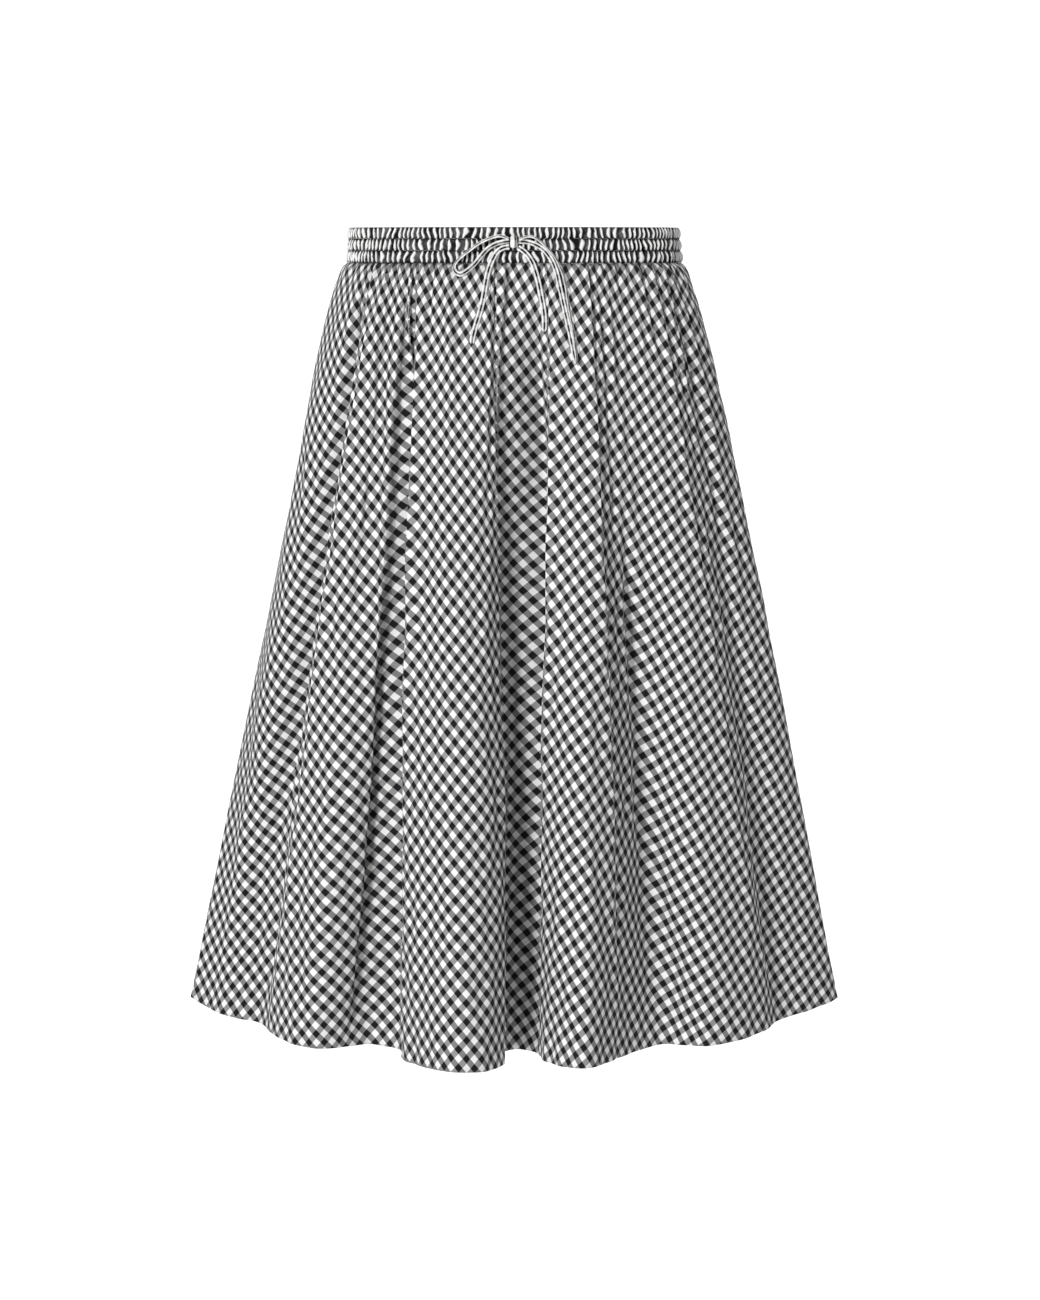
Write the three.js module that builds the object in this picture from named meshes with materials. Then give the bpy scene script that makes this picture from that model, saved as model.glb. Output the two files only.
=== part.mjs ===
// Midi skirt in a small gingham check, filled out as when it is worn.
// Millimetres, +Z up, the front faces -Y, the origin is the centre of the waistband.
import * as THREE from 'three';

// Driving sizes
const BAND_HEIGHT = 33;
const WAIST_HALF_WIDTH = 160;
const WAIST_HALF_DEPTH = 112;
const BAND_TAPER = 3;
const CLOTH_LENGTH = 746.5;
const CLOTH_THICKNESS = 1.5;
const HEM_THICKNESS = 2.4;
const HEM_FOLD = 12;
const SEAM_GAP = 0.3;
const HIP_FULLNESS = 14;
const HIP_RISE = 0.5;
const HIP_FALL = 1.2;
const SQUARENESS = 1.6;
const SQUARE_START = 0.05;

// Elastic channels and gathers of the waistband
const CHANNELS = 3;
const PUFF = 1.8;
const BAND_GATHERS = 140;
const BAND_RIDGE = 0.8;
const BAND_BACKING = 1.6;

// Small gathers under the waistband
const TUCKS = 40;
const TUCK_DEPTH = 2.4;
const TUCK_START = 0.015;
const TUCK_FADE = 0.075;

// In-seam pockets: how far the mouth reaches down the side and how far its edge stands off
const POCKET_LENGTH = 190;
const POCKET_LIFT = 2.5;
const POCKET_EDGE = 14;

// Drawstring tape
const TAPE_WIDTH = 4.8;
const TAPE_THICKNESS = 1;
const TAPE_SIDES = 8;

// The hem seen from above, from the left seam round the front. waist is the bearing at which
// the same fold leaves the waistband: 0 left, 90 front, 180 right and 270 back, in degrees.
const HEM = [
  { fold: 'left seam', x: -323, y: 6, waist: -19 },
  { fold: 'left side', x: -286, y: -28, waist: 12 },
  { fold: 'hollow by crest 1', x: -248, y: -50, waist: 31 },
  { fold: 'crest 1 flank', x: -233, y: -86, waist: 35 },
  { fold: 'crest 1', x: -192, y: -129, waist: 43 },
  { fold: 'hollow 1', x: -140, y: -98, waist: 49.5 },
  { fold: 'hollow 1 right', x: -112, y: -112, waist: 53.5 },
  { fold: 'crest 2 left edge', x: -104, y: -156, waist: 56 },
  { fold: 'crest 2 left', x: -84, y: -194, waist: 61 },
  { fold: 'crest 2', x: -52, y: -222, waist: 70 },
  { fold: 'crest 2 right', x: -26, y: -210, waist: 78.5 },
  { fold: 'crest 2 edge', x: -9, y: -168, waist: 83.5 },
  { fold: 'fold under crest 2', x: -17, y: -130, waist: 86 },
  { fold: 'deep hollow', x: 3, y: -112, waist: 93 },
  { fold: 'deep hollow right', x: 20, y: -123, waist: 99 },
  { fold: 'crest 3 left edge', x: 31, y: -161, waist: 101.5 },
  { fold: 'crest 3 left', x: 46, y: -186, waist: 105.5 },
  { fold: 'crest 3', x: 68, y: -196, waist: 112 },
  { fold: 'crest 3 right flank', x: 100, y: -148, waist: 119.5 },
  { fold: 'hollow 3', x: 140, y: -100, waist: 128 },
  { fold: 'crest 4', x: 190, y: -115, waist: 137 },
  { fold: 'crest 4 flank', x: 247, y: -72, waist: 146 },
  { fold: 'hollow by crest 4', x: 256, y: -46, waist: 149 },
  { fold: 'right side', x: 290, y: -26, waist: 154 },
  { fold: 'right seam', x: 322, y: 2, waist: 161 },
  { fold: 'back right side', x: 300, y: 44, waist: 178 },
  { fold: 'back hollow 1', x: 252, y: 62, waist: 191 },
  { fold: 'back crest 1', x: 214, y: 122, waist: 203 },
  { fold: 'back hollow 2', x: 164, y: 110, waist: 215 },
  { fold: 'back crest 2 flank', x: 132, y: 168, waist: 227 },
  { fold: 'back crest 2', x: 84, y: 214, waist: 240 },
  { fold: 'back hollow 3', x: 38, y: 138, waist: 255 },
  { fold: 'back crest 3', x: -14, y: 196, waist: 268 },
  { fold: 'back hollow 4', x: -62, y: 132, waist: 281 },
  { fold: 'back crest 4', x: -124, y: 202, waist: 296 },
  { fold: 'back hollow 5', x: -176, y: 112, waist: 309 },
  { fold: 'back crest 5', x: -224, y: 126, waist: 320 },
  { fold: 'back hollow 6', x: -262, y: 62, waist: 328 },
  { fold: 'back left side', x: -306, y: 46, waist: 334 },
];
const RIGHT_SEAM = HEM.findIndex((row) => row.fold === 'right seam');

// Rows of the cloth from the waist seam down, as shares of its length
const HEM_FOLD_ROW = 1 - HEM_FOLD / CLOTH_LENGTH;
const ROWS = [0, 0.012, 0.03, 0.055, 0.09, 0.14, 0.21, 0.3, 0.41, 0.54, 0.68, 0.83, HEM_FOLD_ROW, 1];
const FRONT_COLUMNS = 104;
const BACK_COLUMNS = 78;
const STEPS_PER_FOLD = 40;
const SIGHT_COLUMNS = 400;

// Drawstring routes. across and up are places on the front as seen, off is how far the middle of
// the tape stands out from the cloth under it.
const LEFT_LOOP = [
  { across: -4.5, up: 5.4, off: 5 },
  { across: -9, up: 7.4, off: 5.6 },
  { across: -14, up: 8.2, off: 6 },
  { across: -23.7, up: 5.5, off: 6.2 },
  { across: -32.9, up: 0.9, off: 5.8 },
  { across: -40.3, up: -4.6, off: 5 },
  { across: -47.6, up: -10.1, off: 4.2 },
  { across: -53, up: -15.5, off: 3.6 },
  { across: -55, up: -20, off: 3.2 },
  { across: -53.6, up: -24.6, off: 3 },
  { across: -49.5, up: -26.6, off: 2.8 },
  { across: -44.9, up: -24.6, off: 2.6 },
  { across: -36.6, up: -17.8, off: 2.6 },
  { across: -30.2, up: -10.1, off: 2.6 },
  { across: -23.7, up: -3.2, off: 2.6 },
  { across: -16.4, up: 1, off: 2.5 },
  { across: -9, up: 3, off: 2.4 },
  { across: -4.5, up: 3.4, off: 2.3 },
];
const RIGHT_LOOP = [
  { across: 4.8, up: 4.6, off: 5.2 },
  { across: 10.3, up: 7.3, off: 6 },
  { across: 15.8, up: 7.8, off: 6.4 },
  { across: 21.4, up: 5.5, off: 6.4 },
  { across: 26.9, up: 0.9, off: 6 },
  { across: 32.4, up: -4.6, off: 5.4 },
  { across: 38.8, up: -12.8, off: 4.6 },
  { across: 44.4, up: -24.7, off: 4.2 },
  { across: 47.6, up: -36.6, off: 4.2 },
  { across: 49.6, up: -50.3, off: 4.8 },
  { across: 51.9, up: -64, off: 4.9 },
  { across: 54.4, up: -77.7, off: 5.2 },
  { across: 56.2, up: -91.4, off: 6 },
  { across: 57.2, up: -100, off: 7 },
  { across: 57.6, up: -104.6, off: 6.6 },
  { across: 57.4, up: -106.6, off: 4.4 },
  { across: 56.6, up: -104.2, off: 2.2 },
  { across: 55.4, up: -99, off: 1.9 },
  { across: 53.8, up: -91, off: 1.8 },
  { across: 51.3, up: -79, off: 1.8 },
  { across: 48.4, up: -66, off: 1.8 },
  { across: 45.3, up: -52.1, off: 1.9 },
  { across: 42.3, up: -38.4, off: 2 },
  { across: 39.2, up: -24.8, off: 2.2 },
  { across: 34.8, up: -13.8, off: 2 },
  { across: 28.2, up: -5, off: 2 },
  { across: 19.5, up: 0.6, off: 2.2 },
  { across: 11.2, up: 3, off: 2.3 },
  { across: 4.8, up: 3.2, off: 2.3 },
];
const LEFT_TAIL = [
  { across: -4.2, up: -1.6, off: 4.6 },
  { across: -9, up: -2.4, off: 5.2 },
  { across: -14.6, up: -5.4, off: 5.6 },
  { across: -19, up: -12, off: 5 },
  { across: -22.4, up: -20.1, off: 3.4 },
  { across: -24.6, up: -28.3, off: 2.2 },
  { across: -26.4, up: -38, off: 1.8 },
  { across: -28, up: -48, off: 1.7 },
  { across: -30, up: -56.5, off: 1.6 },
  { across: -32.2, up: -64.5, off: 1.6 },
  { across: -34.6, up: -72, off: 1.6 },
  { across: -36.6, up: -79, off: 1.6 },
  { across: -38, up: -85, off: 1.6 },
  { across: -38.4, up: -90.5, off: 1.6 },
];
const RIGHT_TAIL = [
  { across: 4, up: -2.2, off: 3.4 },
  { across: 9, up: -5.6, off: 4 },
  { across: 13.6, up: -10.4, off: 4 },
  { across: 17.4, up: -17, off: 3.4 },
  { across: 20.2, up: -25, off: 2.4 },
  { across: 22.6, up: -34, off: 1.8 },
  { across: 24.4, up: -43, off: 1.7 },
  { across: 26, up: -51, off: 1.6 },
  { across: 27.4, up: -59.4, off: 1.6 },
  { across: 28.2, up: -68.6, off: 1.6 },
  { across: 28, up: -79.5, off: 1.6 },
];
const KNOT = { width: 7, height: 11.5, depth: 5.6, across: -0.2, up: 3, off: 2.8 };

const PANEL_TOP = -BAND_HEIGHT / 2 - SEAM_GAP;

// Materials
const cloth = (color) => new THREE.MeshStandardMaterial({ color, roughness: 0.88, metalness: 0 });
const checkedCloth = cloth(0x8a8a8a);
const gatheredCloth = cloth(0x7c7c7c);
const tapeCloth = cloth(0xc9c9c9);

// Point and outward direction on the waist ellipse, at a bearing in degrees
function waistAt(bearing, halfWidth, halfDepth) {
  const angle = THREE.MathUtils.degToRad(bearing);
  const point = new THREE.Vector3(-halfWidth * Math.cos(angle), -halfDepth * Math.sin(angle), 0);
  const outward = new THREE.Vector3(
    -halfDepth * Math.cos(angle), -halfWidth * Math.sin(angle), 0,
  );
  return { point, outward: outward.normalize() };
}

// The hem curve, stepped finely, with the length along it at each step. z carries the bearing at
// the waist, made small so that it hardly adds to the length.
const BEARING_SCALE = 0.1;

function steppedHem() {
  const folds = [...HEM, { ...HEM[0], waist: HEM[0].waist + 360 }];
  const places = folds.map((row) => new THREE.Vector3(row.x, row.y, row.waist * BEARING_SCALE));
  const curve = new THREE.CatmullRomCurve3(places, false, 'centripetal');
  const steps = HEM.length * STEPS_PER_FOLD;
  const stops = [];
  let length = 0;
  for (let i = 0; i <= steps; i += 1) {
    const point = curve.getPoint(i / steps);
    if (i > 0) {
      const last = stops[i - 1].point;
      length += Math.hypot(point.x - last.x, point.y - last.y);
    }
    stops.push({ point, length });
  }
  return stops;
}
const hem = steppedHem();
const HEM_ROUND = hem[hem.length - 1].length;
const FRONT_HEM = hem[RIGHT_SEAM * STEPS_PER_FOLD].length;

// Place on the hem at a length from the left seam round the front, and its waist bearing
function hemAt(length) {
  const along = THREE.MathUtils.euclideanModulo(length, HEM_ROUND);
  let low = 0;
  let high = hem.length - 1;
  while (high - low > 1) {
    const middle = (low + high) >> 1;
    if (hem[middle].length <= along) low = middle;
    else high = middle;
  }
  const share = (along - hem[low].length) / (hem[high].length - hem[low].length);
  const point = hem[low].point.clone().lerp(hem[high].point, share);
  return { x: point.x, y: point.y, bearing: point.z / BEARING_SCALE };
}

// Small gathers: uneven waves that start at the waist seam and fade out below it
function tuck(length, down) {
  const turn = (2 * Math.PI * length) / HEM_ROUND;
  const wave = Math.cos(TUCKS * turn + 1.1 * Math.sin(7 * turn) + 0.8 * Math.sin(11 * turn + 2));
  const uneven = 0.75 + 0.25 * Math.sin(5 * turn + 1) * Math.sin(13 * turn);
  const start = 1 - 0.65 * Math.exp(-down / TUCK_START);
  return TUCK_DEPTH * wave * uneven * start * Math.exp(-down / TUCK_FADE);
}

// The cloth stands out over the hip, most at HIP_RISE / (HIP_RISE + HIP_FALL) of the way down
function hipFullness(down) {
  const shape = (share) => share ** HIP_RISE * (1 - share) ** HIP_FALL;
  return (HIP_FULLNESS * shape(down)) / shape(HIP_RISE / (HIP_RISE + HIP_FALL));
}

// Below the gathers the cloth fills the corners of the waist's oval: its front and back go flatter
function cornerDepth(x, down) {
  const power = 2 + SQUARENESS * (1 - Math.exp(-down / SQUARE_START));
  const aside = Math.min(1, Math.abs(x) / WAIST_HALF_WIDTH);
  return WAIST_HALF_DEPTH * (1 - aside ** power) ** (1 / power);
}

// Outer face of the skirt: a straight run from the waist seam to the hem, rounded at the hip
function skirtPoint(length, down) {
  const foot = hemAt(length);
  const { point: top, outward } = waistAt(foot.bearing, WAIST_HALF_WIDTH, WAIST_HALF_DEPTH);
  const spread = Math.hypot(foot.x - top.x, foot.y - top.y);
  const drop = Math.sqrt(CLOTH_LENGTH ** 2 - spread ** 2);
  const topY = Math.sign(top.y) * cornerDepth(top.x, down);
  const point = new THREE.Vector3(
    THREE.MathUtils.lerp(top.x, foot.x, down),
    THREE.MathUtils.lerp(topY, foot.y, down),
    PANEL_TOP - drop * down,
  );
  return point.addScaledVector(outward, hipFullness(down) + tuck(length, down));
}

// Directions round the skirt and out of its face, from places a little to each side
const SIDESTEP = 1.5;
const DOWNSTEP = 0.004;

function skirtFrame(length, down) {
  const left = skirtPoint(length - SIDESTEP, down);
  const right = skirtPoint(length + SIDESTEP, down);
  const round = right.sub(left).normalize();
  const above = skirtPoint(length, Math.max(0, down - DOWNSTEP));
  const below = skirtPoint(length, Math.min(1, down + DOWNSTEP));
  const out = new THREE.Vector3().crossVectors(round, below.sub(above)).normalize();
  return { round, out: out.negate() };
}

// Closed wall between an outer and an inner grid of points with the same number of columns.
// A ring joins its last column to its first.
function wallGeometry(outer, inner, ring) {
  const columns = outer[0].length;
  const positions = [];
  const indices = [];
  const numbered = (grid) => grid.map((row) => row.map((point) => {
    positions.push(point.x, point.y, point.z);
    return positions.length / 3 - 1;
  }));
  const face = (a, b, c, d) => indices.push(a, b, c, a, c, d);
  const out = numbered(outer);
  const back = numbered(inner);
  const spans = ring ? columns : columns - 1;
  const skin = (grid, flip) => {
    for (let r = 0; r < grid.length - 1; r += 1) {
      for (let c = 0; c < spans; c += 1) {
        const n = (c + 1) % columns;
        if (flip) face(grid[r][n], grid[r + 1][n], grid[r + 1][c], grid[r][c]);
        else face(grid[r][c], grid[r + 1][c], grid[r + 1][n], grid[r][n]);
      }
    }
  };
  skin(out, false);
  skin(back, true);
  const lastOut = out[out.length - 1];
  const lastBack = back[back.length - 1];
  for (let c = 0; c < spans; c += 1) {
    const n = (c + 1) % columns;
    face(out[0][c], out[0][n], back[0][n], back[0][c]);
    face(lastOut[n], lastOut[c], lastBack[c], lastBack[n]);
  }
  if (!ring) {
    const e = columns - 1;
    for (let r = 0; r < out.length - 1; r += 1) {
      face(out[r][0], back[r][0], back[r + 1][0], out[r + 1][0]);
      face(out[r][e], out[r + 1][e], back[r + 1][e], back[r][e]);
    }
  }
  const geometry = new THREE.BufferGeometry();
  geometry.setAttribute('position', new THREE.Float32BufferAttribute(positions, 3));
  geometry.setIndex(indices);
  geometry.computeVertexNormals();
  return geometry;
}

// Pocket mouth: the front edge stands off along the upper side seam
function mouthLift(fromSeam, down) {
  const along = (down * CLOTH_LENGTH) / POCKET_LENGTH;
  if (along >= 1) return 0;
  return POCKET_LIFT * Math.sin(Math.PI * along) * Math.exp(-fromSeam / POCKET_EDGE);
}

// One cut piece of the skirt, between two lengths round the hem
function panelGeometry(from, to, columns, hasMouth) {
  const outer = [];
  const inner = [];
  for (const down of ROWS) {
    const outerRow = [];
    const innerRow = [];
    const turned = down >= HEM_FOLD_ROW;
    const thickness = turned ? HEM_THICKNESS : CLOTH_THICKNESS;
    for (let c = 0; c <= columns; c += 1) {
      const length = THREE.MathUtils.lerp(from, to, c / columns);
      const { round, out } = skirtFrame(length, down);
      const point = skirtPoint(length, down);
      if (c === 0) point.addScaledVector(round, SEAM_GAP / 2);
      if (c === columns) point.addScaledVector(round, -SEAM_GAP / 2);
      const fromSeam = Math.min(length - from, to - length);
      if (hasMouth) point.addScaledVector(out, mouthLift(fromSeam, down));
      outerRow.push(point);
      innerRow.push(point.clone().addScaledVector(out, -thickness));
    }
    outer.push(outerRow);
    inner.push(innerRow);
  }
  return wallGeometry(outer, inner, false);
}

// Half width and half depth of the waistband at a height
function bandSize(height) {
  const narrower = BAND_TAPER * (height / BAND_HEIGHT + 0.5);
  return { wide: WAIST_HALF_WIDTH - narrower, deep: WAIST_HALF_DEPTH - narrower };
}

// Waistband: gathered outer face with a puff for each elastic channel, plain inside
function bandGeometry() {
  const columns = BAND_GATHERS * 2;
  const channel = BAND_HEIGHT / CHANNELS;
  const ringAt = (height, offset) => {
    const { wide, deep } = bandSize(height);
    const row = [];
    for (let c = 0; c < columns; c += 1) {
      const { point, outward } = waistAt((360 * c) / columns, wide, deep);
      point.addScaledVector(outward, offset(c));
      point.z = height;
      row.push(point);
    }
    return row;
  };
  const outer = [];
  for (let k = 0; k <= CHANNELS * 2; k += 1) {
    const puff = k % 2 === 1 ? PUFF : 0;
    const ridge = k % 2 === 1 ? BAND_RIDGE : BAND_RIDGE / 2;
    const height = BAND_HEIGHT / 2 - (k * channel) / 2;
    outer.push(ringAt(height, (c) => puff + (c % 2 === 0 ? ridge : -ridge)));
  }
  const inner = [BAND_HEIGHT / 2, -BAND_HEIGHT / 2].map((z) => ringAt(z, () => -BAND_BACKING));
  return wallGeometry(outer, inner, true);
}

// Depth of the front at a place seen from straight ahead
function frontDepth(across, up) {
  if (up > PANEL_TOP) {
    const { wide, deep } = bandSize(up);
    return -(deep + PUFF + BAND_RIDGE) * Math.sqrt(1 - (across / wide) ** 2);
  }
  const down = (PANEL_TOP - up) / CLOTH_LENGTH;
  let last = skirtPoint(0, down);
  for (let c = 1; c <= SIGHT_COLUMNS; c += 1) {
    const next = skirtPoint((FRONT_HEM * c) / SIGHT_COLUMNS, down);
    if (last.x <= across && next.x > across) {
      return THREE.MathUtils.mapLinear(across, last.x, next.x, last.y, next.y);
    }
    last = next;
  }
  return last.y;
}

// Flat tape along a route on the front
function tapeGeometry(route, steps) {
  const points = route.map(({ across, up, off }) => (
    new THREE.Vector3(across, frontDepth(across, up) - off, up)
  ));
  const path = new THREE.CatmullRomCurve3(points, false, 'centripetal');
  const { normals, binormals } = path.computeFrenetFrames(steps, false);
  const front = new THREE.Vector3(0, -1, 0);
  const lean = Math.atan2(front.dot(binormals[0]), front.dot(normals[0]));
  const halfWidth = TAPE_WIDTH / 2;
  const halfThickness = TAPE_THICKNESS / 2;
  const corners = [];
  for (let k = 0; k < TAPE_SIDES; k += 1) {
    const angle = (2 * Math.PI * (k + 0.5)) / TAPE_SIDES;
    const thick = halfThickness * Math.cos(angle);
    const wide = halfWidth * Math.sin(angle);
    corners.push(new THREE.Vector2(thick, wide).rotateAround(new THREE.Vector2(), lean));
  }
  return new THREE.ExtrudeGeometry(new THREE.Shape(corners), {
    steps,
    bevelEnabled: false,
    extrudePath: path,
  });
}

function knotMesh() {
  const ball = new THREE.SphereGeometry(0.5, 10, 8);
  ball.scale(KNOT.width, KNOT.depth, KNOT.height);
  const knot = new THREE.Mesh(ball, tapeCloth);
  knot.position.set(KNOT.across, frontDepth(KNOT.across, KNOT.up) - KNOT.off, KNOT.up);
  return knot;
}

const skirt = new THREE.Group();

function add(name, mesh) {
  mesh.name = name;
  skirt.add(mesh);
}

add('waistband', new THREE.Mesh(bandGeometry(), gatheredCloth));
add('front_panel', new THREE.Mesh(
  panelGeometry(0, FRONT_HEM, FRONT_COLUMNS, true), checkedCloth,
));
add('back_panel', new THREE.Mesh(
  panelGeometry(FRONT_HEM, HEM_ROUND, BACK_COLUMNS, false), checkedCloth,
));
add('drawstring_knot', knotMesh());
add('drawstring_loop_left', new THREE.Mesh(tapeGeometry(LEFT_LOOP, 28), tapeCloth));
add('drawstring_loop_right', new THREE.Mesh(tapeGeometry(RIGHT_LOOP, 46), tapeCloth));
add('drawstring_tail_left', new THREE.Mesh(tapeGeometry(LEFT_TAIL, 16), tapeCloth));
add('drawstring_tail_right', new THREE.Mesh(tapeGeometry(RIGHT_TAIL, 14), tapeCloth));

export default skirt;
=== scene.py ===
# Looks of the gingham midi skirt: cloth, gathers, creases, tape, light and camera. Metres, +Z up.
import math

import bpy
import numpy as np
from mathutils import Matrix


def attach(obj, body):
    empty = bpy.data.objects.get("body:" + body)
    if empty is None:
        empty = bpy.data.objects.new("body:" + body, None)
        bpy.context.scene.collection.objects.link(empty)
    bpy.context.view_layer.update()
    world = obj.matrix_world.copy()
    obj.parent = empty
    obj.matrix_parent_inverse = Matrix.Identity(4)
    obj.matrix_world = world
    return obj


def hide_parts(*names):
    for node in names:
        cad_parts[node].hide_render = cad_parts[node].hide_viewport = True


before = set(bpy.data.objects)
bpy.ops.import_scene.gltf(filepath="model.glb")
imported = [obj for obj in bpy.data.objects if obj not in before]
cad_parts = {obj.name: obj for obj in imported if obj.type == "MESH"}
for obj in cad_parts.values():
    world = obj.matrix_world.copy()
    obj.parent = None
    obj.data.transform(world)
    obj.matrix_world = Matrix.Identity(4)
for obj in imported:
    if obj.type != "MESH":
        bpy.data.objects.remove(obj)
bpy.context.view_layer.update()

# Driving sizes, as in the solids
BAND_HEIGHT = 0.033
WAIST_HALF_WIDTH = 0.160
WAIST_HALF_DEPTH = 0.112
BAND_TAPER = 0.003
CLOTH_LENGTH = 0.7465
HEM_FOLD = 0.012
SEAM_GAP = 0.0003
HIP_FULLNESS = 0.014
HIP_RISE = 0.5
HIP_FALL = 1.2
SQUARENESS = 1.6
SQUARE_START = 0.05
PANEL_TOP = -BAND_HEIGHT / 2 - SEAM_GAP

# Cloth as it is cut
CLOTH = 0.0008
TURNED_HEM = 0.0019
CHECK_REPEAT = 0.0122
BIAS = math.radians(45)
GRAIN_LEAN = math.radians(4)
SECTOR_ANGLE = math.radians(33.4)
SECTOR_TOP = 1.347

# Waistband
CHANNELS = 3
PUFF = 0.0018
BAND_GATHERS = 140
BAND_RIDGE = 0.0008
BAND_BACKING = 0.0016

# Small gathers under the waistband
TUCKS = 40
TUCK_DEPTH = 0.0024
TUCK_START = 0.015
TUCK_FADE = 0.075

# In-seam pockets
POCKET_LENGTH = 0.190
POCKET_LIFT = 0.0025
POCKET_EDGE = 0.014

# Drawstring tape
TAPE_WIDTH = 0.0048
TAPE_THICKNESS = 0.001
TAPE_RIB = 0.0006
MM = 0.001

# The hem seen from above, from the left seam round the front, in millimetres: name of the fold,
# x, y, and the bearing where it leaves the waistband, in degrees (0 left, 90 front, 180 right)
HEM = [
    ("left seam", -323, 6, -19),
    ("left side", -286, -28, 12),
    ("hollow by crest 1", -248, -50, 31),
    ("crest 1 flank", -233, -86, 35),
    ("crest 1", -192, -129, 43),
    ("hollow 1", -140, -98, 49.5),
    ("hollow 1 right", -112, -112, 53.5),
    ("crest 2 left edge", -104, -156, 56),
    ("crest 2 left", -84, -194, 61),
    ("crest 2", -52, -222, 70),
    ("crest 2 right", -26, -210, 78.5),
    ("crest 2 edge", -9, -168, 83.5),
    ("fold under crest 2", -17, -130, 86),
    ("deep hollow", 3, -112, 93),
    ("deep hollow right", 20, -123, 99),
    ("crest 3 left edge", 31, -161, 101.5),
    ("crest 3 left", 46, -186, 105.5),
    ("crest 3", 68, -196, 112),
    ("crest 3 right flank", 100, -148, 119.5),
    ("hollow 3", 140, -100, 128),
    ("crest 4", 190, -115, 137),
    ("crest 4 flank", 247, -72, 146),
    ("hollow by crest 4", 256, -46, 149),
    ("right side", 290, -26, 154),
    ("right seam", 322, 2, 161),
    ("back right side", 300, 44, 178),
    ("back hollow 1", 252, 62, 191),
    ("back crest 1", 214, 122, 203),
    ("back hollow 2", 164, 110, 215),
    ("back crest 2 flank", 132, 168, 227),
    ("back crest 2", 84, 214, 240),
    ("back hollow 3", 38, 138, 255),
    ("back crest 3", -14, 196, 268),
    ("back hollow 4", -62, 132, 281),
    ("back crest 4", -124, 202, 296),
    ("back hollow 5", -176, 112, 309),
    ("back crest 5", -224, 126, 320),
    ("back hollow 6", -262, 62, 328),
    ("back left side", -306, 46, 334),
]
RIGHT_SEAM = [row[0] for row in HEM].index("right seam")
BEARING_SCALE = 0.1 * MM
STEPS_PER_FOLD = 40

# Drawstring routes in millimetres: across and up as seen from the front, and how far the middle
# of the tape stands out from the cloth under it
LEFT_LOOP = [
    (-4.5, 5.4, 5), (-9, 7.4, 5.6), (-14, 8.2, 6), (-23.7, 5.5, 6.2), (-32.9, 0.9, 5.8),
    (-40.3, -4.6, 5), (-47.6, -10.1, 4.2), (-53, -15.5, 3.6), (-55, -20, 3.2),
    (-53.6, -24.6, 3), (-49.5, -26.6, 2.8), (-44.9, -24.6, 2.6), (-36.6, -17.8, 2.6),
    (-30.2, -10.1, 2.6), (-23.7, -3.2, 2.6), (-16.4, 1, 2.5), (-9, 3, 2.4), (-4.5, 3.4, 2.3),
]
RIGHT_LOOP = [
    (4.8, 4.6, 5.2), (10.3, 7.3, 6), (15.8, 7.8, 6.4), (21.4, 5.5, 6.4), (26.9, 0.9, 6),
    (32.4, -4.6, 5.4), (38.8, -12.8, 4.6), (44.4, -24.7, 4.2), (47.6, -36.6, 4.2),
    (49.6, -50.3, 4.8), (51.9, -64, 4.9), (54.4, -77.7, 5.2), (56.2, -91.4, 6), (57.2, -100, 7),
    (57.6, -104.6, 6.6), (57.4, -106.6, 4.4), (56.6, -104.2, 2.2), (55.4, -99, 1.9),
    (53.8, -91, 1.8), (51.3, -79, 1.8), (48.4, -66, 1.8), (45.3, -52.1, 1.9),
    (42.3, -38.4, 2), (39.2, -24.8, 2.2), (34.8, -13.8, 2), (28.2, -5, 2), (19.5, 0.6, 2.2),
    (11.2, 3, 2.3), (4.8, 3.2, 2.3),
]
LEFT_TAIL = [
    (-4.2, -1.6, 4.6), (-9, -2.4, 5.2), (-14.6, -5.4, 5.6), (-19, -12, 5), (-22.4, -20.1, 3.4),
    (-24.6, -28.3, 2.2), (-26.4, -38, 1.8), (-28, -48, 1.7), (-30, -56.5, 1.6),
    (-32.2, -64.5, 1.6), (-34.6, -72, 1.6), (-36.6, -79, 1.6), (-38, -85, 1.6),
    (-38.4, -90.5, 1.6),
]
RIGHT_TAIL = [
    (4, -2.2, 3.4), (9, -5.6, 4), (13.6, -10.4, 4), (17.4, -17, 3.4), (20.2, -25, 2.4),
    (22.6, -34, 1.8), (24.4, -43, 1.7), (26, -51, 1.6), (27.4, -59.4, 1.6),
    (28.2, -68.6, 1.6), (28, -79.5, 1.6),
]
KNOT_SIZE = np.array([0.007, 0.0056, 0.0115])
KNOT_PLACE = (-0.2, 3, 2.8)

# Camera at waist height, tilted down
CAMERA_DISTANCE = 2.8
CAMERA_ASIDE = 0.0057
CAMERA_LENS = 80
SENSOR_WIDTH = 36
IMAGE_HEIGHT = 1300
WAIST_ROW = 245
TILT = math.atan((IMAGE_HEIGHT / 2 - WAIST_ROW) / (CAMERA_LENS / SENSOR_WIDTH * IMAGE_HEIGHT))

camera = bpy.data.objects.new("camera", bpy.data.cameras.new("camera"))
bpy.context.scene.collection.objects.link(camera)
camera.data.lens = CAMERA_LENS
camera.data.sensor_width = SENSOR_WIDTH
camera.location = (CAMERA_ASIDE, -CAMERA_DISTANCE, 0)
camera.rotation_euler = (math.pi / 2 - TILT, 0, 0)
bpy.context.scene.camera = camera


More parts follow.
